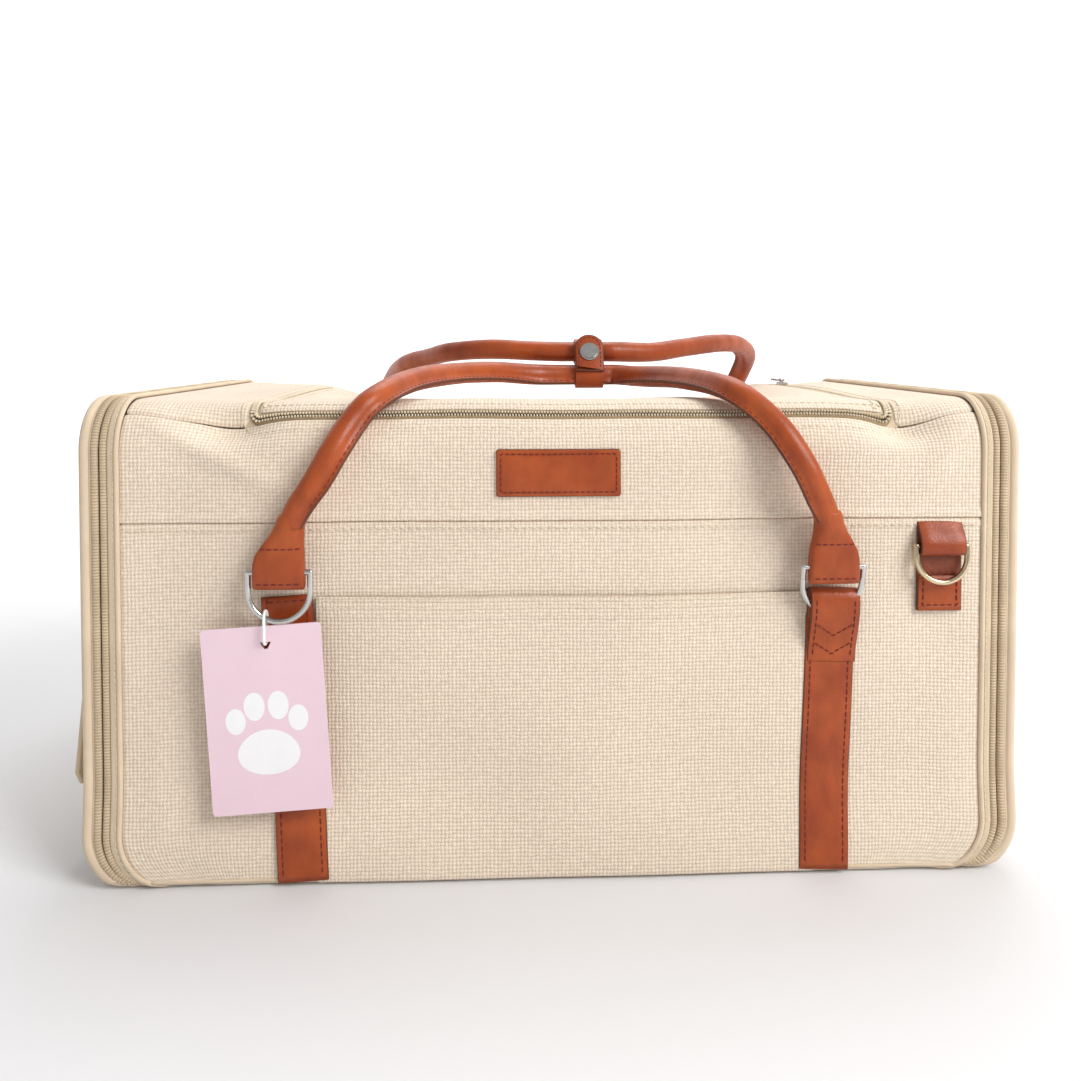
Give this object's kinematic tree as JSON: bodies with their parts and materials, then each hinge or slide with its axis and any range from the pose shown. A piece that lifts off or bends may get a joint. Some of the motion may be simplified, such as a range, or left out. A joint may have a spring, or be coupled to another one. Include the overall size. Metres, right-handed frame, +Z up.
{
  "type": "pet carrier bag",
  "caption": "Soft-sided boxed pet carrier bag in linen with a zipped top flap, zipped end doors with mesh windows and cloth covers, rolled leather handles and shoulder rings.",
  "frame": {"origin": "centre of the flat underside", "axes": "+X along the bag to the viewer's right when facing the pocket side, +Y from the pocket side to the rear, +Z up"},
  "size_m": [0.4924, 0.3151, 0.2856],
  "materials": {
    "linen": "coarse basket-weave linen, matt",
    "binding": "smooth diagonal bias binding, matt",
    "zip_tape": "ribbed woven zip tape with a moulded chain",
    "leather": "smooth pull-up leather with dark stitches",
    "bright_steel": "polished",
    "pale_gold": "polished pale gold plate",
    "spring_steel": "drawn",
    "tag_card": "smooth printed card",
    "white_plastic": "moulded",
    "mesh": "open knitted mesh",
    "board": "stiff base sheet",
    "fleece": "short fleece"
  },
  "bodies": {
    "bag": {"bottom_panel": "linen", "front_panel": "linen", "front_yoke": "linen", "front_pocket": "linen", "rear_panel": "linen", "rear_yoke": "linen", "top_frame": "linen", "top_zip_frame": "zip_tape", "base_board": "board", "floor_mat": "fleece", "left_piping": "binding", "right_piping": "binding", "left_band": "linen", "right_band": "linen", "left_band_zip": "zip_tape", "right_band_zip": "zip_tape", "front_left_strap": "leather", "front_right_strap": "leather", "rear_left_strap": "leather", "rear_right_strap": "leather", "handle_dees": "bright_steel", "label_patch": "leather", "front_ring_tab": "leather", "rear_ring_tab": "leather"},
    "flap": {"top_flap": "linen", "flap_zip": "zip_tape"},
    "left_door": {"left_door_zip": "zip_tape", "left_rim": "binding", "left_hoop": "spring_steel", "left_end_panel": "linen", "left_mesh": "mesh"},
    "right_door": {"right_door_zip": "zip_tape", "right_rim": "binding", "right_hoop": "spring_steel", "right_end_panel": "linen", "right_mesh": "mesh"},
    "left_cover": {"left_curtain": "linen"},
    "right_cover": {"right_curtain": "linen"},
    "front_grip": {"front_handle": "leather", "front_left_lug": "leather", "front_right_lug": "leather", "keeper_sleeve": "leather"},
    "rear_grip": {"rear_handle": "leather", "rear_left_lug": "leather", "rear_right_lug": "leather", "keeper_back": "leather"},
    "keeper": {"keeper_tab": "leather", "snap_cap": "bright_steel"},
    "front_ring": {"front_shoulder_ring": "pale_gold"},
    "rear_ring": {"rear_shoulder_ring": "pale_gold"},
    "tag": {"hang_tag": "tag_card", "tag_ring": "white_plastic"},
    "top_runner": {"top_slider": "bright_steel"},
    "top_runner_pull": {"top_pull": "bright_steel"},
    "left_runner": {"left_slider": "bright_steel"},
    "left_runner_pull": {"left_pull": "bright_steel"},
    "right_runner": {"right_slider": "bright_steel"},
    "right_runner_pull": {"right_pull": "bright_steel"}
  },
  "joints": [
    {"name": "front_handle_swing", "type": "hinge", "parent": "bag", "child": "front_grip", "pos_m": [0, -0.148, 0.164], "axis": [1, 0, 0], "range_deg": [0, 150]},
    {"name": "rear_handle_swing", "type": "hinge", "parent": "bag", "child": "rear_grip", "pos_m": [0, 0.148, 0.164], "axis": [1, 0, 0], "range_deg": [-150, 0]},
    {"name": "flap_open", "type": "hinge", "parent": "bag", "child": "flap", "pos_m": [0, 0.097, 0.248], "axis": [-1, 0, 0], "range_deg": [0, 37.5]},
    {"name": "keeper_open", "type": "hinge", "parent": "front_grip", "child": "keeper", "pos_m": [0.026, -0.0252, 0.261], "axis": [1, 0, 0], "range_deg": [0, 110]},
    {"name": "left_door_open", "type": "hinge", "parent": "bag", "child": "left_door", "pos_m": [-0.2382, 0, 0.0075], "axis": [0, -1, 0], "range_deg": [0, 75]},
    {"name": "right_door_open", "type": "hinge", "parent": "bag", "child": "right_door", "pos_m": [0.2382, 0, 0.0075], "axis": [0, 1, 0], "range_deg": [0, 75]},
    {"name": "left_cover_lift", "type": "hinge", "parent": "left_door", "child": "left_cover", "pos_m": [-0.24545, 0, 0.2355], "axis": [0, 1, 0], "range_deg": [0, 150]},
    {"name": "right_cover_lift", "type": "hinge", "parent": "right_door", "child": "right_cover", "pos_m": [0.24545, 0, 0.2355], "axis": [0, -1, 0], "range_deg": [0, 150]},
    {"name": "front_ring_swing", "type": "hinge", "parent": "bag", "child": "front_ring", "pos_m": [0.201, -0.1402, 0.1726], "axis": [-1, 0, 0], "range_deg": [0, 120]},
    {"name": "rear_ring_swing", "type": "hinge", "parent": "bag", "child": "rear_ring", "pos_m": [-0.201, 0.1402, 0.1726], "axis": [1, 0, 0], "range_deg": [0, 120]},
    {"name": "tag_swing", "type": "hinge", "parent": "bag", "child": "tag", "pos_m": [-0.148, -0.148, 0.1412], "axis": [-1, 0, 0], "range_deg": [0, 30]},
    {"name": "top_zip_slide", "type": "slide", "parent": "flap", "child": "top_runner", "axis": [0, -1, 0], "range_m": [0, 0.16]},
    {"name": "top_pull_swing", "type": "hinge", "parent": "top_runner", "child": "top_runner_pull", "pos_m": [0.1769, 0.07225, 0.2516], "axis": [1, 0, 0], "range_deg": [0, 170]},
    {"name": "left_zip_slide", "type": "slide", "parent": "bag", "child": "left_runner", "axis": [0, 0, 1], "range_m": [0, 0.14]},
    {"name": "left_pull_swing", "type": "hinge", "parent": "left_runner", "child": "left_runner_pull", "pos_m": [-0.2335, 0.1416, 0.05975], "axis": [1, 0, 0], "range_deg": [0, 170]},
    {"name": "right_zip_slide", "type": "slide", "parent": "bag", "child": "right_runner", "axis": [0, 0, 1], "range_m": [0, 0.14]},
    {"name": "right_pull_swing", "type": "hinge", "parent": "right_runner", "child": "right_runner_pull", "pos_m": [0.2335, 0.1416, 0.05975], "axis": [1, 0, 0], "range_deg": [0, 170]}
  ],
  "couplings": [
    {"joint": "rear_handle_swing", "follows": "front_handle_swing", "ratio": -1},
    {"joint": "flap_open", "follows": "front_handle_swing", "ratio": 0.25}
  ]
}
